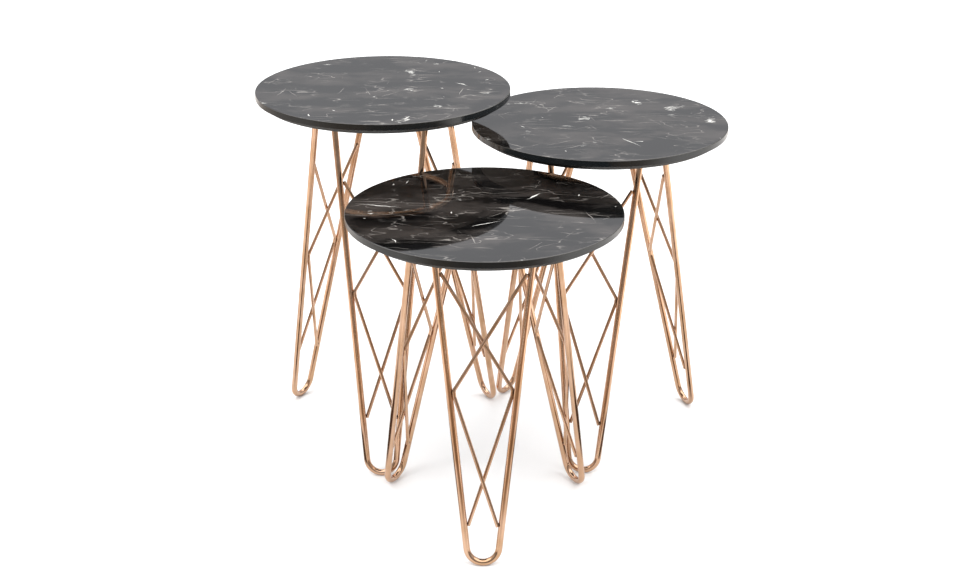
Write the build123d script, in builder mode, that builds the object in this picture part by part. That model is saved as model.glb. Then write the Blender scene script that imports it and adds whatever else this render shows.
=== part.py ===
from build123d import *
import os
from dataclasses import dataclass
from math import acos, atan2, cos, hypot, sin, sqrt, tan

# A set of three round side tables that stand overlapped: tall, middle and low.
# Each has a foil-faced board on a welded frame, a rod ring with three hairpin legs.
# Every leg carries two bent brace wires that cross twice between its rods.
# Sizes are in millimetres. +Z is up and the front of the set faces -Y.
# The origin is on the floor, under the middle of the set's box.

# Tops
TALL_TOP_DIAMETER = 400
MIDDLE_TOP_DIAMETER = 405
LOW_TOP_DIAMETER = 400
TOP_THICKNESS = 18
EDGE_BAND = 9.5  # upright part of the edge, above the undercut
UNDERCUT_INSET = 13  # how far the undercut runs in under the edge
ARRIS_RADIUS = 1.2  # softened upper edge
BAND_RADIUS = 1.5  # softened corner between the band and the undercut
FOIL_THICKNESS = 0.6  # marble-print foil over the face and edge, plain foil under the board

# Heights, each lower top passing under the ring of the next taller table
TALL_HEIGHT = 585
MIDDLE_NEST_GAP = 24.8
LOW_NEST_GAP = 14.8

# Ring and hairpin legs
RING_RADIUS = 105  # to the middle of the rod
RING_ROD = 12
RING_DROP = 0.2  # the lugs, not the ring, bear on the board
LEG_ROD = 10
LEG_SPREAD = 142  # between the two rods of a leg, at the ring
FOOT_BEND_RADIUS = 23.5
TALL_FOOT_RADIUS = 190.5
MIDDLE_FOOT_RADIUS = 183.5
LOW_FOOT_RADIUS = 166

# Brace wires, much the same length on every table
BRACE_WIRE = 5.5
BRACE_LAP = 9  # straight stretch that lies along a rod at the middle weld
BRACE_BEND_RADIUS = 8
BRACE_MIDDLE_RISE = 12  # of the middle welds above midway between the upper and lower ones
TALL_BRACE_DROP = 101  # down the leg, from the ring to the upper welds
MIDDLE_BRACE_DROP = 59
LOW_BRACE_DROP = 39
TALL_BRACE_RISE = 89.5  # up the leg, from the foot to the lower welds
MIDDLE_BRACE_RISE = 76
LOW_BRACE_RISE = 55
WELD_SEAT = 0.3  # how deep a wire's middle bend sits in its weld on a rod
END_COPE = 1.2  # how deep a wire's cut end is coped round a rod
CROSSING_GAP = 0.2  # between the two wires where they cross

# Fixing lugs and wood screws
LUG_WIDTH = 18
LUG_LENGTH = 24
LUG_THICKNESS = 2.5
LUG_CORNER_RADIUS = 6
LUG_LAP = 2.5  # from the lug's welded end to the middle of the ring rod
SCREW_INSET = 9  # from the lug's free end to the screw
SCREW_SHANK = 4
SCREW_HOLE = 4.6
SCREW_LENGTH = 14
SCREW_POINT = 3
SCREW_HEAD = 8
SCREW_HEAD_HEIGHT = 2.4
SCREW_HEAD_RIM = 0.8

# How the set stands
TALL_TURN = -1.4
MIDDLE_TURN = -7.8
LOW_TURN = -0.8
BACK_FEET_GAP = 29  # between the inner back feet of the tall and middle tables
FEET_CLEARANCE = 2  # between the low table's back feet and the others' front feet
FRONT_FEET_STEP = 20.5  # sideways, from the tall table's front foot to the low table's left foot
TOP_CLEARANCE = 10  # from a tucked top to a rod beside it
STAND_STEP = 0.5  # by which the low table is moved back to where it stands

LEG_SIDES = {"front": -90, "right": 30, "left": 150}
LUG_PLACES = {"rear": 90, "left": 210, "right": 330}
OUTER, INNER = 1, -1


@dataclass
class Table:
    """One table of the set, standing at x, y and turned about its own middle."""

    name: str
    top_diameter: float
    height: float
    foot_radius: float
    brace_drop: float
    brace_rise: float
    turn: float
    x: float = 0
    y: float = 0

    @property
    def underside(self):
        return self.height - TOP_THICKNESS

    @property
    def ring_height(self):
        return self.underside - RING_DROP - RING_ROD / 2

    def middle(self, height):
        return Vector(self.x, self.y, height)

    def outward(self, degrees):
        return Vector(1, 0, 0).rotate(Axis.Z, degrees + self.turn)

    def foot(self, side):
        """Lowest point on the middle line of a leg's bend."""
        return self.middle(LEG_ROD / 2) + self.outward(LEG_SIDES[side]) * self.foot_radius

    def leg_plane(self, side):
        """Plane of a hairpin, its Y up the leg and its normal outwards, and the leg's length."""
        outward = self.outward(LEG_SIDES[side])
        sideways = outward.rotate(Axis.Z, 90)
        head_radius = sqrt(RING_RADIUS**2 - (LEG_SPREAD / 2) ** 2)
        rise = self.middle(self.ring_height) + outward * head_radius - self.foot(side)
        return Plane(self.foot(side), x_dir=sideways, z_dir=sideways.cross(rise)), rise.length

    def rod_at(self, side, hand, height):
        """Where one rod of a leg passes a height, the right-hand rod seen from outside being 1."""
        plane, length = self.leg_plane(side)
        lean, bend_x, bend_y = hairpin(length)
        head = plane.from_local_coords((hand * LEG_SPREAD / 2, length, 0))
        bend = plane.from_local_coords((hand * bend_x, bend_y, 0))
        return bend + (head - bend) * ((height - bend.Z) / (head.Z - bend.Z))


def hairpin(length):
    """Lean of a hairpin's rods in its plane, and where its right rod runs into the bend."""
    half = LEG_SPREAD / 2
    straight = length - FOOT_BEND_RADIUS
    lean = acos(FOOT_BEND_RADIUS / hypot(half, straight)) - atan2(straight, half)
    return lean, FOOT_BEND_RADIUS * cos(lean), FOOT_BEND_RADIUS * (1 - sin(lean))


def clear_of_rod(table, sideways):
    """How far past a rod a table's middle stands for its top to clear it, none if the rod is wide of it."""
    reach = table.top_diameter / 2 + LEG_ROD / 2 + TOP_CLEARANCE
    return sqrt(max(reach**2 - sideways**2, 0))


def leg_line(table, side):
    """Middle line of a hairpin leg, one rod bent round at the floor."""
    plane, length = table.leg_plane(side)
    lean, bend_x, bend_y = hairpin(length)
    half = LEG_SPREAD / 2
    with BuildLine(plane) as run:
        Line((-half, length), (-bend_x, bend_y))
        ThreePointArc((-bend_x, bend_y), (0, 0), (bend_x, bend_y))
        Line((bend_x, bend_y), (half, length))
    return run.line


def move_back(table, behind):
    """Move a table back while its legs stay clear of the front legs of those behind it."""
    clear = LEG_ROD + FEET_CLEARANCE
    furthest = table.y + 2 * FOOT_BEND_RADIUS
    while table.y < furthest:
        table.y += STAND_STEP
        gaps = [leg_line(table, side).distance_to(leg_line(other, "front")) for side, other in behind.items()]
        if min(gaps) < clear:
            table.y -= STAND_STEP
            break


def stand_tables():
    """The three tables, placed by their feet and tops, with the set's box over the origin."""
    stack = TOP_THICKNESS + RING_DROP + RING_ROD
    middle_height = TALL_HEIGHT - stack - MIDDLE_NEST_GAP
    low_height = middle_height - stack - LOW_NEST_GAP
    tall = Table(
        name="tall",
        top_diameter=TALL_TOP_DIAMETER,
        height=TALL_HEIGHT,
        foot_radius=TALL_FOOT_RADIUS,
        brace_drop=TALL_BRACE_DROP,
        brace_rise=TALL_BRACE_RISE,
        turn=TALL_TURN,
    )
    middle = Table(
        name="middle",
        top_diameter=MIDDLE_TOP_DIAMETER,
        height=middle_height,
        foot_radius=MIDDLE_FOOT_RADIUS,
        brace_drop=MIDDLE_BRACE_DROP,
        brace_rise=MIDDLE_BRACE_RISE,
        turn=MIDDLE_TURN,
    )
    low = Table(
        name="low",
        top_diameter=LOW_TOP_DIAMETER,
        height=low_height,
        foot_radius=LOW_FOOT_RADIUS,
        brace_drop=LOW_BRACE_DROP,
        brace_rise=LOW_BRACE_RISE,
        turn=LOW_TURN,
    )

    # The middle table stands beside the tall one, its top tucked under the tall top
    by_feet = tall.foot("right").X - middle.foot("left").X + BACK_FEET_GAP
    rod = tall.rod_at("right", -1, middle.height)
    middle.x = max(by_feet, rod.X + clear_of_rod(middle, rod.Y))

    # The low table stands in front of both, its left foot by the tall one's front foot
    front_feet = [tall.foot("front"), middle.foot("front")]
    low.x = tall.foot("front").X + FRONT_FEET_STEP - low.foot("left").X
    rear_ends = []
    for side in ("left", "right"):
        rear_ends.append(low.foot(side).Y + FOOT_BEND_RADIUS * abs(low.outward(LEG_SIDES[side]).X))
    low.y = min(foot.Y for foot in front_feet) - LEG_ROD - max(rear_ends)
    move_back(low, {"left": tall, "right": middle})
    rods = [tall.rod_at("front", 1, low.height), middle.rod_at("front", -1, low.height)]
    low.y = min(low.y, *(rod.Y - clear_of_rod(low, rod.X - low.x) for rod in rods))

    tables = [tall, middle, low]
    centre_x = middle_of([(table.x, table.top_diameter) for table in tables])
    centre_y = middle_of([(table.y, table.top_diameter) for table in tables])
    for table in tables:
        table.x -= centre_x
        table.y -= centre_y
    return tables


def middle_of(spans):
    """Middle of the stretch that several spans cover, each given by its middle and width."""
    low_end = min(middle - width / 2 for middle, width in spans)
    high_end = max(middle + width / 2 for middle, width in spans)
    return (low_end + high_end) / 2


def finish(piece, name):
    """Name a finished piece and write it."""
    piece.label = name
    export_step(piece, f"parts/{name}.step")


def top_section(table, skin):
    """Half section of a top, drawn in all round by a skin."""
    radius = table.top_diameter / 2
    corner = table.height - EDGE_BAND
    with BuildSketch(Plane(table.middle(0), x_dir=(1, 0, 0), z_dir=(0, -1, 0))) as section:
        with BuildLine():
            Polyline(
                (0, table.underside),
                (radius - UNDERCUT_INSET, table.underside),
                (radius, corner),
                (radius, table.height),
                (0, table.height),
            )
            mirror(about=Plane.YZ)
        make_face()
        underside, corners, face = section.vertices().group_by(Axis.Y)
        fillet(face, ARRIS_RADIUS)
        fillet(corners, BAND_RADIUS)
        if skin > 0:
            offset(amount=-skin)
        split(bisect_by=Plane.YZ)
    return section.sketch


def build_top(table, screws):
    """Board with its pilot holes, the plain foil under it, and the marble foil over it."""
    upright = Axis(table.middle(0), (0, 0, 1))
    under_plane = Plane(table.middle(table.underside))
    backing_radius = table.top_diameter / 2 - UNDERCUT_INSET - FOIL_THICKNESS

    with BuildPart() as board:
        add(top_section(table, FOIL_THICKNESS))
        revolve(axis=upright)
        add(screws, mode=Mode.SUBTRACT)
    finish(board.part, f"{table.name}_board")

    with BuildPart() as backing:
        with BuildSketch(under_plane):
            Circle(backing_radius)
        extrude(amount=FOIL_THICKNESS)
        add(screws, mode=Mode.SUBTRACT)
    finish(backing.part, f"{table.name}_backing")

    with BuildPart() as foil:
        add(top_section(table, 0))
        revolve(axis=upright)
        add(top_section(table, FOIL_THICKNESS))
        revolve(axis=upright, mode=Mode.SUBTRACT)
        with BuildSketch(under_plane):
            Circle(backing_radius)
        extrude(amount=FOIL_THICKNESS, mode=Mode.SUBTRACT)
    finish(foil.part, f"{table.name}_marble_foil")


def build_ring(table):
    """Rod ring under the board, which carries the legs and the lugs."""
    rod_middle = table.middle(table.ring_height) + Vector(RING_RADIUS, 0, 0)
    with BuildPart() as ring:
        with BuildSketch(Plane(rod_middle, x_dir=(1, 0, 0), z_dir=(0, -1, 0))):
            Circle(RING_ROD / 2)
        revolve(axis=Axis(table.middle(0), (0, 0, 1)))
    finish(ring.part, f"{table.name}_ring")
    return ring.part


def build_leg(table, side, ring):
    """Hairpin leg, one rod bent round at the floor, its two ends coped to the ring."""
    path = leg_line(table, side)
    with BuildPart() as leg:
        with BuildSketch(Plane(path @ 0, z_dir=path % 0)):
            Circle(LEG_ROD / 2)
        sweep(path=path)
        add(ring, mode=Mode.SUBTRACT)
    finish(leg.part, f"{table.name}_{side}_leg")
    return leg.part


def build_brace(table, side, face, leg):
    """Brace wire bent between a leg's rods, laid on the leg's outer or inner face."""
    plane, length = table.leg_plane(side)
    lean, bend_x, bend_y = hairpin(length)
    lift = (BRACE_WIRE + CROSSING_GAP) / 2

    def beside_rod(hand, height, depth):
        reach = (LEG_ROD + BRACE_WIRE) / 2 - depth
        offset = sqrt(reach**2 - lift**2) / cos(lean)
        return (hand * (bend_x + (height - bend_y) * tan(lean) - offset), height)

    upper = length - table.brace_drop
    lower = table.brace_rise
    middle = (upper + lower) / 2 + BRACE_MIDDLE_RISE
    with BuildPart() as brace:
        with BuildLine(plane.offset(face * lift)) as run:
            FilletPolyline(
                beside_rod(face, upper, END_COPE),
                beside_rod(-face, middle + BRACE_LAP / 2, WELD_SEAT),
                beside_rod(-face, middle - BRACE_LAP / 2, WELD_SEAT),
                beside_rod(face, lower, END_COPE),
                radius=BRACE_BEND_RADIUS,
            )
        with BuildSketch(Plane(run.line @ 0, z_dir=run.line % 0)):
            Circle(BRACE_WIRE / 2)
        sweep()
        add(leg, mode=Mode.SUBTRACT)
    finish(brace.part, f"{table.name}_{side}_{'outer' if face == OUTER else 'inner'}_brace")


def build_lug(table, place, ring):
    """Flat lug welded inside the ring, drilled for the screw that holds the board."""
    outward = table.outward(LUG_PLACES[place])
    free_end = RING_RADIUS - LUG_LAP - LUG_LENGTH
    with BuildPart() as lug:
        with BuildSketch(Plane(table.middle(table.underside - LUG_THICKNESS), x_dir=outward)) as blank:
            with Locations((free_end, 0)):
                Rectangle(LUG_LENGTH, LUG_WIDTH, align=(Align.MIN, Align.CENTER))
            fillet(blank.vertices().group_by(Axis.X)[0], LUG_CORNER_RADIUS)
            with Locations((free_end + SCREW_INSET, 0)):
                Circle(SCREW_HOLE / 2, mode=Mode.SUBTRACT)
        extrude(amount=LUG_THICKNESS)
        add(ring, mode=Mode.SUBTRACT)
    finish(lug.part, f"{table.name}_{place}_lug")


def build_screws(table):
    """Pan-head wood screws, up through the lugs into the board."""
    screw_circle = RING_RADIUS - LUG_LAP - LUG_LENGTH + SCREW_INSET
    with BuildPart() as screws:
        for degrees in LUG_PLACES.values():
            outward = table.outward(degrees)
            seat = table.middle(table.underside - LUG_THICKNESS) + outward * screw_circle
            with BuildSketch(Plane(seat, x_dir=outward, z_dir=outward.rotate(Axis.Z, -90))):
                with BuildLine():
                    TangentArc((0, -SCREW_HEAD_HEIGHT), (SCREW_HEAD / 2, -SCREW_HEAD_RIM), tangent=(1, 0))
                    Polyline(
                        (SCREW_HEAD / 2, -SCREW_HEAD_RIM),
                        (SCREW_HEAD / 2, 0),
                        (SCREW_SHANK / 2, 0),
                        (SCREW_SHANK / 2, SCREW_LENGTH - SCREW_POINT),
                        (0, SCREW_LENGTH),
                        (0, -SCREW_HEAD_HEIGHT),
                    )
                make_face()
            revolve(axis=Axis(seat, (0, 0, 1)))
    finish(screws.part, f"{table.name}_screws")
    return screws.part


os.makedirs("parts", exist_ok=True)
for table in stand_tables():
    screws = build_screws(table)
    build_top(table, screws)
    ring = build_ring(table)
    for place in LUG_PLACES:
        build_lug(table, place, ring)
    for side in LEG_SIDES:
        leg = build_leg(table, side, ring)
        for face in (OUTER, INNER):
            build_brace(table, side, face, leg)
    print(table.name, "top", table.top_diameter, "high", table.height, "at", table.x, table.y)
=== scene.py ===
from math import atan2, pi, radians, sin

import bpy
from bpy.props import FloatProperty, FloatVectorProperty, IntProperty, PointerProperty
from mathutils import Matrix, Vector
from mathutils.bvhtree import BVHTree


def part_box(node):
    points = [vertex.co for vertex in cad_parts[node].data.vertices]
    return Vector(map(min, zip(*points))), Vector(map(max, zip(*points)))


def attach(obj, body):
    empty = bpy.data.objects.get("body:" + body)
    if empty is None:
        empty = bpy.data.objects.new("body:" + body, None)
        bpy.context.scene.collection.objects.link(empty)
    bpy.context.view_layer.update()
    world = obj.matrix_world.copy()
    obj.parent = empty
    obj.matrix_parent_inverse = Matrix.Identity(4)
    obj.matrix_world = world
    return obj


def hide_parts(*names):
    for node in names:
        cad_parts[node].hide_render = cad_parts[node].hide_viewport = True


bl_info = {
    "name": "Nesting Tables",
    "version": (1, 0, 0),
    "blender": (4, 5, 0),
    "location": "3D View > Sidebar > Nesting Tables",
    "description": "Finishes a set of round nesting tables in marble-print foil and copper plating",
    "category": "Object",
}

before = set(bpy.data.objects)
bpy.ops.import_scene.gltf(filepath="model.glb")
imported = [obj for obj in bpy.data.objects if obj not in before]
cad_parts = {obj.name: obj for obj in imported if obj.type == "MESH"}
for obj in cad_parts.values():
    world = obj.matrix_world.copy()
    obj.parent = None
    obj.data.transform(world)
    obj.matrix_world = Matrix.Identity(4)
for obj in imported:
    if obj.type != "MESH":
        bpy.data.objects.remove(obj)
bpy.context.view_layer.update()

MM = 0.001
TABLES = ("tall", "middle", "low")
LEG_SIDES = ("front", "right", "left")
LUG_PLACES = ("rear", "left", "right")
WIRE_FACES = ("outer", "inner")
SEAT_REACH = 0.15 * MM  # a mesh stands this far off the true surface at most


def linear(hex_colour):
    """Linear RGBA of an sRGB hex colour."""
    channels = [int(hex_colour[i:i + 2], 16) / 255 for i in (1, 3, 5)]
    return (*(c / 12.92 if c <= 0.04045 else ((c + 0.055) / 1.055) ** 2.4 for c in channels), 1.0)


def per(millimetres):
    """Texture scale for a pattern that repeats about every so many millimetres."""
    return 1 / (millimetres * MM)


def fill(tree, node, inputs):
    """Fill the sockets of a shader node, or link them to other sockets."""
    for socket, value in inputs.items():
        if isinstance(value, bpy.types.NodeSocket):
            tree.links.new(value, node.inputs[socket])
        else:
            node.inputs[socket].default_value = value


def add_node(tree, kind, inputs=None, **settings):
    """Add a shader node, with its settings, and its sockets filled or linked."""
    added = tree.nodes.new("ShaderNode" + kind)
    for name, value in settings.items():
        setattr(added, name, value)
    fill(tree, added, inputs or {})
    return added


def calculate(tree, operation, *values):
    """Result of a sum on sockets or numbers."""
    return add_node(tree, "Math", dict(enumerate(values)), operation=operation).outputs[0]


def span(tree, value, start, end, low=0.0, high=1.0):
    """Level that goes from low to high, and no further, as a value goes from a start to an end."""
    return add_node(tree, "MapRange", {
        "Value": value, "From Min": start, "From Max": end, "To Min": low, "To Max": high}).outputs[0]


def ramp(tree, level, *stops):
    """Colour that follows a level through stops, each a place and a colour or grey level."""
    added = add_node(tree, "ValToRGB", {"Fac": level})
    elements = added.color_ramp.elements
    while len(elements) < len(stops):
        elements.new(1.0)
    for element, (place, colour) in zip(elements, stops):
        element.position = place
        element.color = (colour, colour, colour, 1) if isinstance(colour, (int, float)) else colour
    return added.outputs["Color"]


def blend(tree, level, first, second):
    """Colour between two colours, by a level."""
    return add_node(tree, "Mix", {0: level, 6: first, 7: second}, data_type="RGBA").outputs[2]


def lumps(tree, place, size, detail, roughness=0.5):
    """Uneven level, in lumps of about a size in millimetres."""
    return add_node(tree, "TexNoise", {
        "Vector": place, "Scale": per(size), "Detail": detail, "Roughness": roughness}).outputs["Fac"]


def bumped(tree, height, strength, depth):
    """Normal of a surface that a height roughens by a strength, to a depth in millimetres."""
    return add_node(tree, "Bump", {
        "Height": height, "Strength": strength, "Distance": depth * MM}).outputs["Normal"]


def upward(tree):
    """How far a surface faces up: 1 for a level face, 0 for an upright one and -1 for an underside."""
    normal = add_node(tree, "NewGeometry").outputs["Normal"]
    return add_node(tree, "SeparateXYZ", {"Vector": normal}).outputs["Z"]


def new_material(name):
    """Empty material with a principled surface. Returns it, its tree, the surface and object coordinates."""
    material = bpy.data.materials.new(name)
    material.use_nodes = True
    tree = material.node_tree
    tree.nodes.clear()
    surface = add_node(tree, "BsdfPrincipled")
    add_node(tree, "OutputMaterial", {"Surface": surface.outputs["BSDF"]})
    place = add_node(tree, "TexCoord").outputs["Object"]
    return material, tree, surface, place


def give_material(piece, material):
    """Make a material the only one on a piece."""
    piece.data.materials.clear()
    piece.data.materials.append(material)


class TopSettings(bpy.types.PropertyGroup):
    """Colours and pattern sizes of the marble print"""

    ground_colour: FloatVectorProperty(
        name="Ground", description="Black flows in the marble print",
        subtype="COLOR", size=4, min=0, max=1, default=linear("#0b0a0a"))
    cloud_colour: FloatVectorProperty(
        name="Clouds", description="Smoky brown-grey patches in the print",
        subtype="COLOR", size=4, min=0, max=1, default=linear("#433e3b"))
    vein_colour: FloatVectorProperty(
        name="Veins", description="Hairline cracks filled with calcite",
        subtype="COLOR", size=4, min=0, max=1, default=linear("#b3ada6"))
    splinter_colour: FloatVectorProperty(
        name="Splinters", description="Bright calcite splinters",
        subtype="COLOR", size=4, min=0, max=1, default=linear("#f3f1ea"))
    edge_colour: FloatVectorProperty(
        name="Edge", description="Plain cool black of the edge and undercut",
        subtype="COLOR", size=4, min=0, max=1, default=linear("#0f1416"))
    # Painted highlight: a lighter grey laid on the corner, the rim and faintly the undercut of the edge
    bend_highlight_colour: FloatVectorProperty(
        name="Bends", description="Foil stretched greyer where it is bent over the rim and the corner",
        subtype="COLOR", size=4, min=0, max=1, default=linear("#78736d"))
    vein_strength: FloatProperty(
        name="Vein Strength", description="How far the hairlines stand out",
        subtype="FACTOR", default=0.65, min=0, max=1)
    cloud_size: FloatProperty(
        name="Cloud Size", description="Length of a smoky patch in millimetres", default=120, min=1)
    splinter_spacing: FloatProperty(
        name="Splinter Spacing", description="Spacing of the places for a splinter in millimetres",
        default=62, min=1)
    splinter_length: FloatProperty(
        name="Splinter Length", description="Half length of a splinter in millimetres", default=17, min=1)
    splinter_width: FloatProperty(
        name="Splinter Width", description="Half width of a splinter in millimetres", default=2.2, min=0.1)
    gloss_roughness: FloatProperty(
        name="Gloss Roughness", description="Roughness of the lacquered face",
        subtype="FACTOR", default=0.035, min=0, max=1)


class FrameSettings(bpy.types.PropertyGroup):
    """Colours of the plating and sizes of the weld beads"""

    plating_colour: FloatVectorProperty(
        name="Plating", description="Copper plating on the rods",
        subtype="COLOR", size=4, min=0, max=1, default=linear("#d8b193"))
    plating_shade: FloatVectorProperty(
        name="Plating Shade", description="Deeper copper where the plating is thick",
        subtype="COLOR", size=4, min=0, max=1, default=linear("#c39a74"))
    bead_colour: FloatVectorProperty(
        name="Weld Bead", description="Plating over a weld bead",
        subtype="COLOR", size=4, min=0, max=1, default=linear("#9a6a48"))
    wire_bead_length: FloatProperty(
        name="Wire Bead Length", description="Length of the bead where a wire lies on a rod",
        unit="LENGTH", default=11 * MM, min=0.1 * MM)
    wire_bead_width: FloatProperty(
        name="Wire Bead Width", description="Width of that bead across the leg's face",
        unit="LENGTH", default=6.2 * MM, min=0.1 * MM)
    wire_bead_depth: FloatProperty(
        name="Wire Bead Depth", description="Depth of that bead from rod to wire",
        unit="LENGTH", default=3.4 * MM, min=0.1 * MM)
    ring_bead_radius: FloatProperty(
        name="Ring Bead Radius", description="Radius of the bead round a rod's end, under the ring",
        unit="LENGTH", default=1.2 * MM, min=0.1 * MM)
    lug_bead_radius: FloatProperty(
        name="Lug Bead Radius", description="Radius of the bead where a lug meets the ring",
        unit="LENGTH", default=1.4 * MM, min=0.1 * MM)


class ScrewSettings(bpy.types.PropertyGroup):
    """Sizes of the pan-head screws"""

    head_diameter: FloatProperty(
        name="Head", description="Diameter of the pan head", unit="LENGTH", default=8 * MM, min=1 * MM)
    head_height: FloatProperty(
        name="Head Height", description="Height of the pan head",
        unit="LENGTH", default=2.4 * MM, min=0.1 * MM)
    shank_diameter: FloatProperty(
        name="Shank", description="Diameter of the shank", unit="LENGTH", default=4 * MM, min=0.1 * MM)
    point_length: FloatProperty(
        name="Point", description="Length of the tapered point", unit="LENGTH", default=3 * MM, min=0.1 * MM)
    recess_width: FloatProperty(
        name="Recess Width", description="Width of one arm of the cross recess",
        unit="LENGTH", default=1.1 * MM, min=0.1 * MM)
    recess_length: FloatProperty(
        name="Recess Length", description="Length of the cross recess",
        unit="LENGTH", default=4.4 * MM, min=0.1 * MM)
    recess_depth: FloatProperty(
        name="Recess Depth", description="Depth of the cross recess",
        unit="LENGTH", default=1.5 * MM, min=0.1 * MM)
    sides: IntProperty(
        name="Sides", description="Sides of the turned head", default=40, min=12)


class StageSettings(bpy.types.PropertyGroup):
    """Camera, floor and light of the studio"""

    camera_place: FloatVectorProperty(
        name="Camera", description="Where the photograph was taken from",
        subtype="TRANSLATION", unit="LENGTH", default=(-19.8 * MM, -2370.7 * MM, 1280.7 * MM))
    camera_pitch: FloatProperty(
        name="Pitch", description="How far the camera looks down",
        subtype="ANGLE", default=radians(22.344))
    lens: FloatProperty(
        name="Lens", description="Focal length on a 36 mm wide sensor",
        unit="CAMERA", default=61.89, min=1)
    floor_size: FloatProperty(
        name="Floor", description="Width of the floor", unit="LENGTH", default=60.0, min=1)
    floor_colour: FloatVectorProperty(
        name="Floor Colour", description="Pale floor",
        subtype="COLOR", size=4, min=0, max=1, default=linear("#fbfbfa"))
    room_colour: FloatVectorProperty(
        name="Room Colour", description="Cool white of the room",
        subtype="COLOR", size=4, min=0, max=1, default=linear("#fafbff"))
    room_light: FloatProperty(
        name="Room Light", description="Brightness of the room behind the set", default=0.57, min=0)
    dark_side: FloatProperty(
        name="Dark Side", description="Share of that brightness on the camera's side",
        subtype="FACTOR", default=0.6, min=0, max=1)
    softbox_power: FloatProperty(
        name="Softboxes", description="Power of each softbox in watts", unit="POWER", default=30, min=0)
    softbox_place: FloatVectorProperty(
        name="Softbox Place", description="Where the right softbox stands, with the left one opposite",
        subtype="TRANSLATION", unit="LENGTH", default=(2.4, -1.7, 1.5))
    softbox_width: FloatProperty(
        name="Softbox Width", description="Width of a softbox", unit="LENGTH", default=1.1, min=0.1)
    softbox_height: FloatProperty(
        name="Softbox Height", description="Height of a softbox", unit="LENGTH", default=2.2, min=0.1)
    aim_height: FloatProperty(
        name="Aim", description="Height on the set that the softboxes point at",
        unit="LENGTH", default=350 * MM, min=0)
    overhead_strength: FloatProperty(
        name="Overhead", description="Strength of the light from a wide white ceiling", default=2.95, min=0)
    overhead_spread: FloatProperty(
        name="Overhead Spread", description="How wide that ceiling is seen from the floor",
        subtype="ANGLE", default=radians(100))
    sweep_near_colour: FloatVectorProperty(
        name="Sweep Near", description="Mirrored floor close to the set",
        subtype="COLOR", size=4, min=0, max=1, default=linear("#ebe9e7"))
    # Painted shade: the mirrored floor darkens further out, standing in for light that falls off
    sweep_far_painted_shade: FloatVectorProperty(
        name="Sweep Far", description="Mirrored floor further out, past the lit part",
        subtype="COLOR", size=4, min=0, max=1, default=linear("#806a54"))
    # Painted light: the mirrored floor is lighter at both sides
    sweep_side_painted_light: FloatVectorProperty(
        name="Sweep Side", description="Mirrored floor at both sides, lit again",
        subtype="COLOR", size=4, min=0, max=1, default=linear("#fffaf4"))
    flag_colour: FloatVectorProperty(
        name="Flag", description="Dark wedges in front of the legs that polished rods mirror as a line",
        subtype="COLOR", size=4, min=0, max=1, default=linear("#3b2a1e"))
    back_leg_offset: FloatProperty(
        name="Back Legs", description="How far the outer back feet stand from the middle",
        unit="LENGTH", default=338 * MM, min=0)


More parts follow.
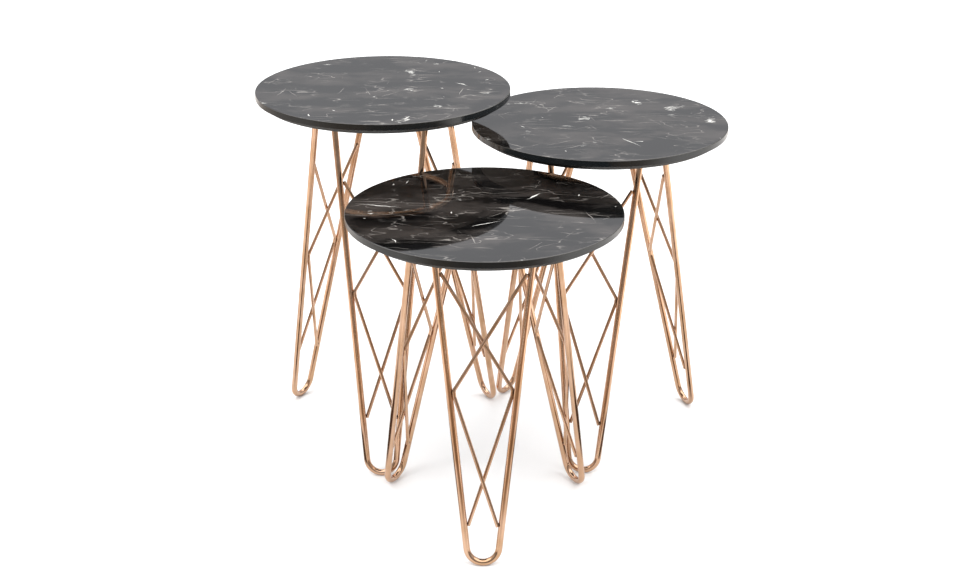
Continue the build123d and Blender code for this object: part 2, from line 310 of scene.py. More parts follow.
def marble_print_foil(settings):
    """Decor paper printed as black marble under high-gloss lacquer, wrapped to a plain black edge.

    The eye sees black flows in smoky ground, hairline fans, a few bright splinters and mirrored surroundings.
    """
    material, tree, surface, place = new_material("Marble-print gloss foil")

    def wavered(size, reach, detail):
        """Places pushed about by noise of a size, by up to half a reach, both in millimetres."""
        noise = add_node(tree, "TexNoise", {"Vector": place, "Scale": per(size), "Detail": detail})
        middle = add_node(tree, "VectorMath", {0: noise.outputs["Color"], 1: (0.5, 0.5, 0.5)},
                          operation="SUBTRACT")
        push = add_node(tree, "VectorMath", {0: middle.outputs[0], "Scale": reach * MM}, operation="SCALE")
        return add_node(tree, "VectorMath", {0: place, 1: push.outputs[0]}, operation="ADD").outputs[0]

    def drawn_out(at, slant, scale, seed=0):
        """Places turned by a slant in degrees and scaled along each axis, so that a pattern is drawn out."""
        return add_node(tree, "Mapping", {
            "Vector": at, "Location": (seed, seed, 0), "Rotation": (0, 0, radians(slant)),
            "Scale": scale}).outputs["Vector"]

    def marks(at, spacing, share, seed):
        """One mark in a share of the cells of a net: its own turned coordinates, size and presence."""
        moved = add_node(tree, "VectorMath", {0: at, 1: (seed, seed, 0)}, operation="ADD").outputs[0]
        cell = add_node(tree, "TexVoronoi", {"Vector": moved, "Scale": per(spacing)}, voronoi_dimensions="2D")
        chance = add_node(tree, "SeparateColor", {"Color": cell.outputs["Color"]})
        turn = calculate(tree, "MULTIPLY", chance.outputs["Red"], 2 * pi)
        out = add_node(tree, "VectorMath", {0: moved, 1: cell.outputs["Position"]}, operation="SUBTRACT")
        turned = add_node(tree, "VectorRotate", {"Vector": out.outputs[0], "Angle": turn},
                          rotation_type="Z_AXIS")
        size = span(tree, chance.outputs["Blue"], 0, 1, low=0.45, high=1.3)
        return turned.outputs["Vector"], size, calculate(tree, "LESS_THAN", chance.outputs["Green"], share)

    def strokes(at, spacing, share, length, width, seed):
        """Pointed strokes of a half length and half width in millimetres, each lying its own way."""
        own, size, shown = marks(at, spacing, share, seed)
        drawn = add_node(tree, "VectorMath", {0: own, 1: (per(length), per(width), 0)}, operation="MULTIPLY")
        halves = add_node(tree, "VectorMath", {0: drawn.outputs[0]}, operation="ABSOLUTE")
        reach = add_node(tree, "VectorMath", {0: halves.outputs[0], 1: (1, 1, 0)}, operation="DOT_PRODUCT")
        sized = calculate(tree, "DIVIDE", reach.outputs["Value"], size)
        return calculate(tree, "MULTIPLY", span(tree, sized, 0.55, 1, low=1, high=0), shown)

    def fans(at, spacing, share, lines, reach, seed):
        """Hairlines that run out from a point, up to a reach in millimetres."""
        own, size, shown = marks(at, spacing, share, seed)
        axes = add_node(tree, "SeparateXYZ", {"Vector": own})
        bearing = calculate(tree, "ARCTAN2", axes.outputs["Y"], axes.outputs["X"])
        spoke = calculate(tree, "SINE", calculate(tree, "MULTIPLY", bearing, lines / 2))
        out = add_node(tree, "VectorMath", {0: own}, operation="LENGTH").outputs["Value"]
        gap = calculate(tree, "MULTIPLY", calculate(tree, "ABSOLUTE", spoke), out)
        line = span(tree, gap, 0.5 * MM, 1.6 * MM, low=1, high=0)
        fade = span(tree, out, 0.3 * reach * MM, reach * MM, low=1, high=0)
        return calculate(tree, "MULTIPLY", calculate(tree, "MULTIPLY", line, fade), shown)

    def ridges(size, width, seed, slant):
        """Wandering lines along a slant, where noise of a size in millimetres passes its middle level."""
        at = drawn_out(place, slant, (per(size), per(size * 0.3), per(size)), seed)
        noise = add_node(tree, "TexNoise", {"Vector": at, "Scale": 1.0, "Detail": 3, "Roughness": 0.4})
        middle = calculate(tree, "SUBTRACT", noise.outputs["Fac"], 0.5)
        return span(tree, calculate(tree, "ABSOLUTE", middle), 0, width, low=1, high=0)

    def patchy(size, start, end):
        """Level that rises from nothing to full in patches of a size in millimetres."""
        return span(tree, lumps(tree, place, size, detail=4), start, end)

    def strongest(layers):
        """The highest of some levels at each place."""
        top = layers[0]
        for layer in layers[1:]:
            top = calculate(tree, "MAXIMUM", top, layer)
        return top

    # Smoky patches, longer one way, with black flows between them
    cloud = settings.cloud_size
    drifted = wavered(size=70, reach=60, detail=3)
    slanted = drawn_out(drifted, slant=24, scale=(per(cloud), per(cloud * 0.45), per(cloud)))
    smoke = add_node(tree, "TexNoise", {"Vector": slanted, "Scale": 1.0, "Detail": 7, "Roughness": 0.58})
    smoke_level = ramp(tree, smoke.outputs["Fac"], (0.46, 0.0), (0.56, 0.45), (0.74, 1.0))
    ground = blend(tree, smoke_level, settings.ground_colour, settings.cloud_colour)

    # Hairlines, drawn a little wider than the tenths of a millimetre they have, or they would not show
    bent = wavered(size=60, reach=12, detail=5)
    hairs = strongest([
        ridges(size=190, width=0.005, seed=0.31, slant=35),
        ridges(size=140, width=0.006, seed=1.27, slant=-50),
        ridges(size=165, width=0.005, seed=2.07, slant=80),
        strokes(bent, spacing=47, share=0.55, length=44, width=0.8, seed=1.73),
        fans(bent, spacing=104, share=0.7, lines=7, reach=60, seed=2.41),
    ])
    veins = calculate(tree, "MULTIPLY", hairs, patchy(size=48, start=0.44, end=0.64))
    faint = calculate(tree, "MULTIPLY", veins, settings.vein_strength)
    veined = blend(tree, faint, ground, settings.vein_colour)

    # Bright splinters, scribbles of crushed calcite and specks
    jagged = wavered(size=22, reach=13, detail=7)
    length, width, spacing = settings.splinter_length, settings.splinter_width, settings.splinter_spacing
    sliver = per(spacing * 0.32), per(spacing * 0.1), per(spacing * 0.2)
    slivers = drawn_out(jagged, slant=-28, scale=sliver)
    crush = add_node(tree, "TexVoronoi", {"Vector": slivers, "Scale": 1.0}, feature="DISTANCE_TO_EDGE")
    cracks = span(tree, crush.outputs["Distance"], 0.03, 0.11, low=1, high=0)
    bright = strongest([
        calculate(tree, "MULTIPLY", cracks, patchy(size=spacing * 0.75, start=0.668, end=0.72)),
        strokes(jagged, spacing, share=0.08, length=length, width=width, seed=0.83),
        strokes(jagged, spacing * 1.3, share=0.13, length=length * 1.6, width=width * 0.5, seed=3.19),
        strokes(jagged, spacing * 0.4, share=0.035, length=length * 0.25, width=width * 0.6, seed=4.57),
    ])
    marble = blend(tree, bright, veined, settings.splinter_colour)

    # The face is lacquered marble, the upright edge a plain glossy black and the undercut a matt one,
    # with a painted highlight: a grey line on the corner between them, a fainter one at the rim and a trace
    # on the undercut
    up = span(tree, upward(tree), -1, 1)
    on_face = ramp(tree, up, (0.8, 0.0), (0.95, 1.0))
    # Painted highlight: full on the corner, about a third at the rim and a tenth on the undercut
    painted_highlight_lines = ramp(tree, up, (0.12, 0.1), (0.2, 1.0), (0.4, 1.0), (0.49, 0.0), (0.56, 0.0), (0.66, 0.35))
    edge = blend(tree, painted_highlight_lines, settings.edge_colour, settings.bend_highlight_colour)
    rough = ramp(tree, up, (0.1, 0.5), (0.18, 0.15), (0.6, 0.15), (0.95, settings.gloss_roughness))
    sheen = ramp(tree, up, (0.1, 0.1), (0.18, 1.0), (0.4, 1.0), (0.49, 0.55),
                 (0.56, 0.55), (0.66, 1.0), (0.9, 1.0), (0.96, 0.5))

    # Lacquer over fibreboard: a faint long ripple that softens mirrored edges
    ripple = lumps(tree, place, size=14, detail=2)
    fill(tree, surface, {
        "Base Color": blend(tree, on_face, edge, marble),
        "Roughness": rough,
        "Specular IOR Level": sheen,
        "Normal": bumped(tree, ripple, strength=0.012, depth=1),
        "IOR": 1.5,
    })
    return material


def fibreboard():
    """Raw medium-density fibreboard, sawn and sanded: matt brown with short pressed fibres.

    The fibres are drawn about a millimetre wide, coarser than the tenths they have, or they would not show.
    """
    material, tree, surface, place = new_material("Sanded fibreboard")
    fibre = lumps(tree, place, size=1.2, detail=4, roughness=0.7)
    fill(tree, surface, {
        "Base Color": ramp(tree, fibre, (0.3, linear("#7d5f42")), (0.7, linear("#b08c63"))),
        "Roughness": 0.85,
        "Normal": bumped(tree, fibre, strength=0.2, depth=0.1),
    })
    return material


def backing_foil():
    """Melamine-soaked black paper pressed on the underside: satin, with a fine pressed pore.

    The pore is drawn coarser than the tenths of a millimetre it has, or it would not show.
    """
    material, tree, surface, place = new_material("Pressed black backing foil")
    pore = lumps(tree, place, size=2.2, detail=3)
    fill(tree, surface, {
        "Base Color": ramp(tree, pore, (0.35, linear("#262524")), (0.7, linear("#363433"))),
        "Roughness": span(tree, pore, 0, 1, low=0.32, high=0.48),
        "Normal": bumped(tree, pore, strength=0.1, depth=0.1),
    })
    return material


def copper_plating(settings):
    """Bright copper electroplated on drawn steel rod and clear lacquered.

    The eye sees a warm mirror, with slight drifts of tone and a soft polish. The marks of polishing are drawn
    coarser than the hundredths of a millimetre they have, or they would not show.
    """
    material, tree, surface, place = new_material("Polished copper plating")
    tone = ramp(tree, lumps(tree, place, size=30, detail=4), (0.35, 0.0), (0.68, 1.0))
    polish = lumps(tree, place, size=2.5, detail=3)
    fill(tree, surface, {
        "Base Color": blend(tree, tone, settings.plating_colour, settings.plating_shade),
        "Metallic": 1.0,
        "Roughness": span(tree, polish, 0, 1, low=0.05, high=0.13),
        "Normal": bumped(tree, polish, strength=0.03, depth=0.1),
        "Coat Weight": 0.7,
        "Coat Roughness": 0.04,
    })
    return material


def plated_weld(settings):
    """Copper plating over an unground weld bead: duller and pitted, with painted shade on its upward faces
    for the shaded notch above it.
    """
    pit_colour, notch_shade_colour = linear("#5a3824"), linear("#160c07")
    material, tree, surface, place = new_material("Copper-plated weld bead")
    pit = lumps(tree, place, size=1.1, detail=4)
    bead = blend(tree, ramp(tree, pit, (0.35, 0.0), (0.65, 1.0)), pit_colour, settings.bead_colour)
    # Painted shade: upward faces go near black, standing in for the shade in the notch above the bead
    notch = span(tree, upward(tree), -0.1, 0.5)
    fill(tree, surface, {
        "Base Color": blend(tree, notch, bead, notch_shade_colour),
        "Metallic": 1.0,
        "Roughness": 0.36,
        "Normal": bumped(tree, pit, strength=0.3, depth=0.3),
    })
    return material


def zinc_plating():
    """Bright zinc on a steel screw: cool grey with a faint mottle, drawn as coarse as the head can show."""
    material, tree, surface, place = new_material("Bright zinc plating")
    mottle = lumps(tree, place, size=1.5, detail=3)
    fill(tree, surface, {
        "Base Color": ramp(tree, mottle, (0.3, linear("#9a9a97")), (0.7, linear("#c9c8c2"))),
        "Metallic": 1.0,
        "Roughness": span(tree, mottle, 0, 1, low=0.22, high=0.4),
    })
    return material


def pale_floor(settings):
    """Painted studio floor: pale and matt, with a barely seen roller texture, and clear from below."""
    material, tree, surface, place = new_material("Matt painted floor")
    fill(tree, surface, {
        "Base Color": settings.floor_colour,
        "Roughness": 0.9,
        "Specular IOR Level": 0.1,
        "Normal": bumped(tree, lumps(tree, place, size=5, detail=2), strength=0.02, depth=1),
    })
    one_sided = add_node(tree, "MixShader", {
        0: add_node(tree, "NewGeometry").outputs["Backfacing"],
        1: surface.outputs["BSDF"],
        2: add_node(tree, "BsdfTransparent").outputs["BSDF"]})
    fill(tree, tree.nodes["Material Output"], {"Surface": one_sided.outputs[0]})
    return material


def mirrored_sweep(settings):
    """Paper sweep with painted shade away from the set, painted light at its sides and a dark strip in front.

    Polished rods mirror it, so the eye sees painted reflections: dark middle lines and duller upper ends. The
    lacquered edges of the tops mirror its painted-light sides, which lighten their flanks. Its places are in
    metres.
    """
    material, tree, surface, place = new_material("Greyed paper sweep")
    axes = add_node(tree, "SeparateXYZ", {"Vector": place})
    side, depth = axes.outputs["X"], axes.outputs["Y"]
    out = add_node(tree, "VectorMath", {0: place}, operation="LENGTH").outputs["Value"]
    painted_falloff = blend(tree, span(tree, out, 0.45, 1.25), settings.sweep_near_colour, settings.sweep_far_painted_shade)

    # Painted light at the sides: less at the left, and none close to the camera
    sides = ramp(tree, span(tree, side, -2, 2), (0.05, 0.3), (0.18, 0.75), (0.25, 0.7),
                 (0.34, 0.0), (0.66, 0.0), (0.76, 1.0))
    lit = calculate(tree, "MULTIPLY", sides, span(tree, depth, -1.45, -0.75))
    paper = blend(tree, lit, painted_falloff, settings.sweep_side_painted_light)

    def wedge(aside, start, spread, rise, end, tip=0.025, fade=0.17):
        """Dark wedge that runs towards the camera from a start to an end.

        It opens from a narrow tip by a spread for each metre, darkens over a rise and fades before its end.
        """
        wide = span(tree, depth, start, start - 1, low=tip, high=tip + spread)
        across = span(tree, calculate(tree, "DIVIDE", aside, wide), 0.7, 1.15, low=1, high=0)
        begun = span(tree, depth, start, start - rise)
        lasts = span(tree, depth, end, end + fade)
        return calculate(tree, "MULTIPLY", across, calculate(tree, "MULTIPLY", begun, lasts))

    aside = calculate(tree, "ABSOLUTE", side)
    beside = calculate(tree, "ABSOLUTE", calculate(tree, "SUBTRACT", aside, settings.back_leg_offset))
    # Painted dark reflections: wedges in front of the legs, which the rods mirror as dark lines
    strip = calculate(tree, "MAXIMUM",
                      wedge(aside, start=-0.33, spread=0.58, rise=2.4, end=-13),
                      wedge(beside, start=0.2, spread=0.27, rise=0.07, end=-0.42))
    fill(tree, surface, {"Base Color": blend(tree, strip, paper, settings.flag_colour), "Roughness": 0.9})
    return material


def deselect_all():
    """Leave edit mode, with nothing selected."""
    if bpy.context.mode != "OBJECT":
        bpy.ops.object.mode_set(mode="OBJECT")
    bpy.ops.object.select_all(action="DESELECT")


def seats(node, carrier):
    """Points of a node that lie on its carrier, each with the carrier's outward normal there."""
    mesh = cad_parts[carrier].data
    surface = BVHTree.FromPolygons([v.co for v in mesh.vertices], [p.vertices for p in mesh.polygons])
    found = []
    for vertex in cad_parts[node].data.vertices:
        spot, normal, index, distance = surface.find_nearest(vertex.co)
        if distance < SEAT_REACH:
            found.append((vertex.co.copy(), normal.copy()))
    return found


def middle_of(points):
    """Mean of some points."""
    return sum(points, Vector()) / len(points)


def clusters(found, spacing):
    """Split seats into groups, each within a spacing of its first point."""
    groups = []
    for seat in found:
        for group in groups:
            if (group[0][0] - seat[0]).length < spacing:
                group.append(seat)
                break
        else:
            groups.append([seat])
    return groups


def set_copy(model, name, place):
    """Copy a model with its own mesh, moved by a matrix."""
    mesh = model.data.copy()
    mesh.transform(place)
    piece = bpy.data.objects.new(name, mesh)
    bpy.context.scene.collection.objects.link(piece)
    return piece


def join_pieces(pieces, name, body, material):
    """Join finished pieces into one that rides on a body."""
    deselect_all()
    for piece in pieces:
        piece.select_set(True)
    bpy.context.view_layer.objects.active = pieces[0]
    if len(pieces) > 1:
        bpy.ops.object.join()
    joined = bpy.context.view_layer.objects.active
    joined.name = name
    give_material(joined, material)
    bpy.ops.object.shade_smooth()
    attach(joined, body)
    return joined


def model_wire_bead(settings):
    """Short weld bead along X, with the rings that a weld leaves as it is laid."""
    swell = 1.12  # of every third ring, apart from the ends
    deselect_all()
    bpy.ops.mesh.primitive_uv_sphere_add(segments=14, ring_count=18, radius=0.5, rotation=(0, pi / 2, 0))
    bpy.ops.object.transform_apply()
    bead = bpy.context.active_object
    bpy.ops.object.mode_set(mode="EDIT")
    bpy.ops.mesh.select_mode(type="VERT")
    rings = sorted({round(v.co.x, 4) for v in bead.data.vertices})
    for place in rings[3:-3:3]:
        bpy.ops.mesh.select_all(action="DESELECT")
        bpy.ops.object.mode_set(mode="OBJECT")
        for vertex in bead.data.vertices:
            vertex.select = abs(vertex.co.x - place) < 0.001
        bpy.ops.object.mode_set(mode="EDIT")
        bpy.ops.transform.resize(value=(1, swell, swell))
    bpy.ops.object.mode_set(mode="OBJECT")
    bead.scale = (settings.wire_bead_length, settings.wire_bead_width, settings.wire_bead_depth)
    bpy.ops.object.transform_apply()
    return bead


def bead_along(points, radii, closed):
    """Lumpy weld bead along a line of points, as a mesh."""
    deselect_all()
    curve = bpy.data.curves.new("weld_run", "CURVE")
    curve.dimensions = "3D"
    curve.bevel_depth = 1.0
    curve.bevel_resolution = 3
    curve.resolution_u = 3
    curve.use_fill_caps = not closed
    spline = curve.splines.new("NURBS")
    spline.points.add(len(points) - 1)
    for knot, point, radius in zip(spline.points, points, radii):
        knot.co = (*point, 1)
        knot.radius = radius
    spline.order_u = 3
    spline.use_cyclic_u = closed
    spline.use_endpoint_u = not closed
    run = bpy.data.objects.new("weld_run", curve)
    bpy.context.scene.collection.objects.link(run)
    run.select_set(True)
    bpy.context.view_layer.objects.active = run
    bpy.ops.object.convert(target="MESH")
    return bpy.context.active_object


class NESTING_TABLES_OT_tops(bpy.types.Operator):
    """Finish the tops: marble-print foil over raw board, black backing under it"""
    bl_idname = "nesting_tables.tops"
    bl_label = "Finish Tops"

    def execute(self, context):
        finishes = {
            "marble_foil": marble_print_foil(context.scene.nesting_tops),
            "board": fibreboard(),
            "backing": backing_foil(),
        }
        for table in TABLES:
            for piece, material in finishes.items():
                give_material(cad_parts[f"{table}_{piece}"], material)
        return {"FINISHED"}


class NESTING_TABLES_OT_frames(bpy.types.Operator):
    """Plate the frames: rings, hairpin legs, brace wires and fixing lugs"""
    bl_idname = "nesting_tables.frames"
    bl_label = "Plate Frames"

    def execute(self, context):
        plating = copper_plating(context.scene.nesting_frames)
        for table in TABLES:
            names = [f"{table}_ring"] + [f"{table}_{place}_lug" for place in LUG_PLACES]
            for side in LEG_SIDES:
                names.append(f"{table}_{side}_leg")
                names += [f"{table}_{side}_{face}_brace" for face in WIRE_FACES]
            for name in names:
                give_material(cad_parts[name], plating)
        return {"FINISHED"}


class NESTING_TABLES_OT_welds(bpy.types.Operator):
    """Lay the weld beads between wires, rods, rings and lugs"""
    bl_idname = "nesting_tables.welds"
    bl_label = "Lay Weld Beads"

    SEAT_SPACING = 60 * MM  # the seats of one wire lie further apart
    ROD_SPACING = 20 * MM  # and so do the two rods of a leg
    OVERRUN = 0.25  # of a wire bead, past its seat
    RING_STEPS = 20  # points round a rod's end
    RING_LUMPS = 0.14  # of a ring bead's radius, as its swell and shrink
    RING_WAVE = 2.4  # radians of that swing from one point to the next
    LUG_STEPS = 12  # points along a lug's end, less one
    LUG_LUMPS = 0.25  # of a lug bead's radius, as for the ring bead
    LUG_WAVE = 2.2
    LUG_ENDS = 0.3  # of that radius, where the bead starts and stops

    def wire_beads(self, table, bead, settings):
        """A copy of the bead on every seat of a wire on its leg."""
        pieces = []
        for side in LEG_SIDES:
            for face in WIRE_FACES:
                found = seats(f"{table}_{side}_{face}_brace", f"{table}_{side}_leg")
                for group in clusters(found, self.SEAT_SPACING):
                    points = sorted((point for point, normal in group), key=lambda point: point.z)
                    seat = points[-1] - points[0]
                    along = seat.normalized()
                    outward = middle_of([normal for point, normal in group])
                    across = outward.cross(along).normalized()
                    turned = Matrix((along, across, along.cross(across))).transposed().to_4x4()
                    stretch = seat.length / settings.wire_bead_length + self.OVERRUN
                    stretched = Matrix.Diagonal((stretch, 1, 1, 1))
                    place = Matrix.Translation(middle_of(points)) @ turned @ stretched
                    pieces.append(set_copy(bead, "wire_bead", place))
        return pieces

    def ring_beads(self, table, radius):
        """A closed bead round each rod end, along the saddle where it meets the ring."""
        pieces = []
        for side in LEG_SIDES:
            for group in clusters(seats(f"{table}_{side}_leg", f"{table}_ring"), self.ROD_SPACING):
                points = [point for point, normal in group]
                centre = (
                    Vector([min(p[i] for p in points) for i in range(3)])
                    + Vector([max(p[i] for p in points) for i in range(3)])
                ) / 2
                turn = {}
                for point in points:
                    angle = atan2(point.y - centre.y, point.x - centre.x)
                    step = int((angle + pi) / (2 * pi) * self.RING_STEPS) % self.RING_STEPS
                    if step not in turn or (point - centre).xy.length > (turn[step] - centre).xy.length:
                        turn[step] = point
                loop = [turn[step] for step in sorted(turn)]
                swings = [self.RING_LUMPS * sin(self.RING_WAVE * step) for step in range(len(loop))]
                radii = [radius * (1 + swing) for swing in swings]
                pieces.append(bead_along(loop, radii, closed=True))
        return pieces

    def lug_beads(self, table, radius):
        """An open bead under the end of each lug, along the ring."""
        low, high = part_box(f"{table}_ring")
        centre = (low + high) / 2
        pieces = []
        for place in LUG_PLACES:
            name = f"{table}_{place}_lug"
            found = [point for point, normal in seats(name, f"{table}_ring")]
            lowest = min(point.z for point in found)
            edge = [point for point in found if point.z < lowest + SEAT_REACH]
            middle = middle_of(edge) - centre
            sideways = Vector((-middle.y, middle.x, 0)).normalized()
            edge.sort(key=lambda point: point.dot(sideways))
            ends = edge[0], edge[-1]
            steps = self.LUG_STEPS
            run = [ends[0].lerp(ends[1], step / steps) for step in range(steps + 1)]
            reach = (ends[0] - centre).xy.length
            for point in run:
                flat = (point - centre).xy.normalized() * reach
                point.x = centre.x + flat.x
                point.y = centre.y + flat.y
            swings = [self.LUG_LUMPS * sin(self.LUG_WAVE * step) for step in range(steps + 1)]
            radii = [radius * (1 - self.LUG_LUMPS + swing) for swing in swings]
            radii[0] = radii[-1] = radius * self.LUG_ENDS
            pieces.append(bead_along(run, radii, closed=False))
        return pieces

    def execute(self, context):
        settings = context.scene.nesting_frames
        material = plated_weld(settings)
        bead = model_wire_bead(settings)
        for table in TABLES:
            body = f"{table}_table"
            groups = {
                "wire_welds": self.wire_beads(table, bead, settings),
                "leg_welds": self.ring_beads(table, settings.ring_bead_radius),
                "lug_welds": self.lug_beads(table, settings.lug_bead_radius),
            }
            for name, pieces in groups.items():
                join_pieces(pieces, f"{table}_{name}", body, material)
        bpy.data.objects.remove(bead)
        return {"FINISHED"}


class NESTING_TABLES_OT_screws(bpy.types.Operator):
    """Turn the pan-head screws and press in their cross recesses"""
    bl_idname = "nesting_tables.screws"
    bl_label = "Make Screws"

    SCREW_SPACING = 30 * MM  # the screws of a table stand further apart
    HEAD_ROUNDING = 0.66  # of the head's height
    TIP_WIDTH = 0.05  # of the shank's width
    RECESS_TAPER = 0.55  # of the recess's width, at its bottom

    def pick_face(self, mesh, up):
        """Select only the lowest or highest face of a mesh in edit mode."""
        bpy.ops.mesh.select_all(action="DESELECT")
        bpy.ops.object.mode_set(mode="OBJECT")
        faces = sorted(mesh.polygons, key=lambda face: face.center.z)
        faces[-1 if up else 0].select = True
        bpy.ops.object.mode_set(mode="EDIT")

    def model_screw(self, settings, length):
        """One screw, its head's seat at the origin and its point up."""
        deselect_all()
        head = settings.head_diameter / 2
        bpy.ops.mesh.primitive_cylinder_add(
            vertices=settings.sides, radius=head, depth=settings.head_height,
            location=(0, 0, -settings.head_height / 2))
        bpy.ops.object.transform_apply()
        screw = bpy.context.active_object
        bpy.ops.object.mode_set(mode="EDIT")
        bpy.ops.mesh.select_mode(type="FACE")
        self.pick_face(screw.data, up=False)
        bpy.ops.mesh.bevel(offset=settings.head_height * self.HEAD_ROUNDING, segments=6, affect="EDGES")
        self.pick_face(screw.data, up=True)
        bpy.ops.mesh.inset(thickness=head - settings.shank_diameter / 2)
        for run in (length - settings.point_length, settings.point_length):
            bpy.ops.mesh.extrude_region_move(TRANSFORM_OT_translate={"value": (0, 0, run)})
        bpy.ops.transform.resize(value=(self.TIP_WIDTH, self.TIP_WIDTH, 1))
        bpy.ops.object.mode_set(mode="OBJECT")
        for turn in (0, pi / 2):
            self.cut_recess(screw, settings, turn)
        return screw

    def cut_recess(self, screw, settings, turn):
        """Press one tapered arm of the cross into the head."""
        deselect_all()
        bpy.ops.mesh.primitive_cube_add(
            size=1, location=(0, 0, -settings.head_height), rotation=(0, 0, turn),
            scale=(settings.recess_length, settings.recess_width, settings.recess_depth * 2))
        bpy.ops.object.transform_apply()
        cutter = bpy.context.active_object
        bpy.ops.object.mode_set(mode="EDIT")
        bpy.ops.mesh.select_mode(type="FACE")
        self.pick_face(cutter.data, up=True)
        bpy.ops.transform.resize(value=(self.RECESS_TAPER, self.RECESS_TAPER, 1))
        bpy.ops.object.mode_set(mode="OBJECT")
        bpy.context.view_layer.objects.active = screw
        cut = screw.modifiers.new("Recess", "BOOLEAN")
        cut.operation = "DIFFERENCE"
        cut.object = cutter
        bpy.ops.object.modifier_apply(modifier=cut.name)
        bpy.data.objects.remove(cutter)

    def execute(self, context):
        settings = context.scene.nesting_screws
        material = zinc_plating()
        for table in TABLES:
            node = f"{table}_screws"
            low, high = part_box(node)
            seat = low.z + settings.head_height
            screw = self.model_screw(settings, high.z - seat)
            points = [(vertex.co.copy(),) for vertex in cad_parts[node].data.vertices]
            pieces = []
            for group in clusters(points, self.SCREW_SPACING):
                middle = middle_of([point for point, in group])
                pieces.append(set_copy(screw, "screw", Matrix.Translation((middle.x, middle.y, seat))))
            bpy.data.objects.remove(screw)
            name = f"{table}_cross_head_screws"
            joined = join_pieces(pieces, name, f"{table}_table", material)
            bpy.ops.object.shade_smooth_by_angle(angle=radians(35))
            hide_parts(node)
        return {"FINISHED"}


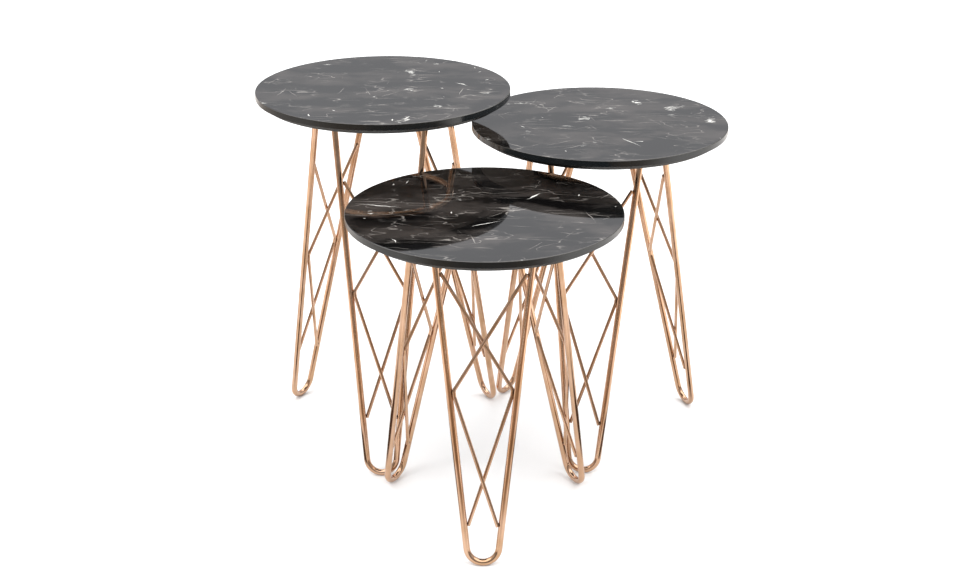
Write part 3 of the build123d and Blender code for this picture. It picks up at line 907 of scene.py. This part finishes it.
class NESTING_TABLES_OT_stage(bpy.types.Operator):
    """Set the camera, the pale floor and the studio light"""
    bl_idname = "nesting_tables.stage"
    bl_label = "Set Stage"

    SWEEP_SHARE = 0.5  # of the floor's width
    SWEEP_RISE = 1 * MM  # over the floor
    LOW_WALL = 0.85  # share of the room's light at the foot of its walls
    HIGH_WALL = 1.55  # and further up

    def add_softbox(self, name, side, settings):
        """Soft light from one side, which the polished faces do not mirror."""
        light = bpy.data.lights.new(name, "AREA")
        light.shape = "RECTANGLE"
        light.size = settings.softbox_width
        light.size_y = settings.softbox_height
        light.energy = settings.softbox_power
        lamp = bpy.data.objects.new(name, light)
        lamp.location = Vector(settings.softbox_place) * Vector((side, 1, 1))
        aim = Vector((0, 0, settings.aim_height)) - lamp.location
        lamp.rotation_euler = aim.to_track_quat("-Z", "Y").to_euler()
        lamp.visible_camera = False
        lamp.visible_glossy = False
        bpy.context.scene.collection.objects.link(lamp)

    def add_ceiling(self, settings):
        """Even soft light from above, which whitens the floor all over."""
        light = bpy.data.lights.new("ceiling", "SUN")
        light.energy = settings.overhead_strength
        light.angle = settings.overhead_spread
        lamp = bpy.data.objects.new("ceiling", light)
        bpy.context.scene.collection.objects.link(lamp)

    def add_sweep(self, settings):
        """Floor that only polished metal and lacquer see, laid just over the real one, with painted light and
        shade for them to mirror.
        """
        deselect_all()
        bpy.ops.mesh.primitive_plane_add(
            size=settings.floor_size * self.SWEEP_SHARE, location=(0, 0, self.SWEEP_RISE))
        bpy.ops.object.transform_apply()
        sweep = bpy.context.active_object
        sweep.name = "studio_sweep"
        give_material(sweep, mirrored_sweep(settings))
        sweep.visible_camera = False
        sweep.visible_diffuse = False
        sweep.visible_shadow = False

    def light_room(self, settings):
        """White room behind the set, lighter upwards, that darkens towards the camera's side."""
        world = bpy.data.worlds.new("Studio room")
        bpy.context.scene.world = world
        world.use_nodes = True
        tree = world.node_tree
        tree.nodes.clear()
        direction = add_node(tree, "TexCoord").outputs["Generated"]
        axes = add_node(tree, "SeparateXYZ", {"Vector": direction})

        # A direction goes from -1 to 1 on each axis: Y away from the camera and Z up
        level = add_node(tree, "MapRange", {
            "Value": axes.outputs["Y"], "From Min": -0.75, "From Max": 0.25,
            "To Min": settings.dark_side, "To Max": 1.0}, interpolation_type="SMOOTHSTEP")
        low, high = self.LOW_WALL * settings.room_light, self.HIGH_WALL * settings.room_light
        rise = span(tree, axes.outputs["Z"], 0.2, 0.36, low, high)
        strength = calculate(tree, "MULTIPLY", level.outputs[0], rise)
        room = add_node(tree, "Background", {"Color": settings.room_colour, "Strength": strength})
        add_node(tree, "OutputWorld", {"Surface": room.outputs[0]})

    def execute(self, context):
        settings = context.scene.nesting_stage
        deselect_all()
        bpy.ops.mesh.primitive_plane_add(size=settings.floor_size)
        floor = context.active_object
        floor.name = "studio_floor"
        give_material(floor, pale_floor(settings))

        camera = bpy.data.cameras.new("photograph_camera")
        camera.sensor_fit = "HORIZONTAL"
        camera.sensor_width = 36
        camera.lens = settings.lens
        camera.clip_end = 200
        holder = bpy.data.objects.new("photograph_camera", camera)
        holder.location = settings.camera_place
        holder.rotation_euler = (pi / 2 - settings.camera_pitch, 0, 0)
        context.scene.collection.objects.link(holder)
        context.scene.camera = holder

        self.add_softbox("softbox_left", -1, settings)
        self.add_softbox("softbox_right", 1, settings)
        self.add_ceiling(settings)
        self.add_sweep(settings)
        self.light_room(settings)
        context.scene.view_settings.view_transform = "Standard"
        return {"FINISHED"}


class NESTING_TABLES_PT_panel(bpy.types.Panel):
    """Lists the steps and their settings"""
    bl_idname = "NESTING_TABLES_PT_panel"
    bl_label = "Nesting Tables"
    bl_space_type = "VIEW_3D"
    bl_region_type = "UI"
    bl_category = "Nesting Tables"

    def draw(self, context):
        for operator in OPERATORS:
            self.layout.operator(operator.bl_idname)
        for settings, group in SETTINGS.items():
            box = self.layout.box()
            for name in group.__annotations__:
                box.prop(getattr(context.scene, settings), name)


OPERATORS = (
    NESTING_TABLES_OT_tops,
    NESTING_TABLES_OT_frames,
    NESTING_TABLES_OT_welds,
    NESTING_TABLES_OT_screws,
    NESTING_TABLES_OT_stage,
)
SETTINGS = {
    "nesting_tops": TopSettings,
    "nesting_frames": FrameSettings,
    "nesting_screws": ScrewSettings,
    "nesting_stage": StageSettings,
}


def register():
    for group in (*SETTINGS.values(), *OPERATORS, NESTING_TABLES_PT_panel):
        bpy.utils.register_class(group)
    for name, group in SETTINGS.items():
        setattr(bpy.types.Scene, name, PointerProperty(type=group))


def unregister():
    for name in SETTINGS:
        delattr(bpy.types.Scene, name)
    for group in reversed((*SETTINGS.values(), *OPERATORS, NESTING_TABLES_PT_panel)):
        bpy.utils.unregister_class(group)


def main():
    register()
    bpy.ops.nesting_tables.tops()
    bpy.ops.nesting_tables.frames()
    bpy.ops.nesting_tables.welds()
    bpy.ops.nesting_tables.screws()
    bpy.ops.nesting_tables.stage()


if __name__ == "__main__":
    main()
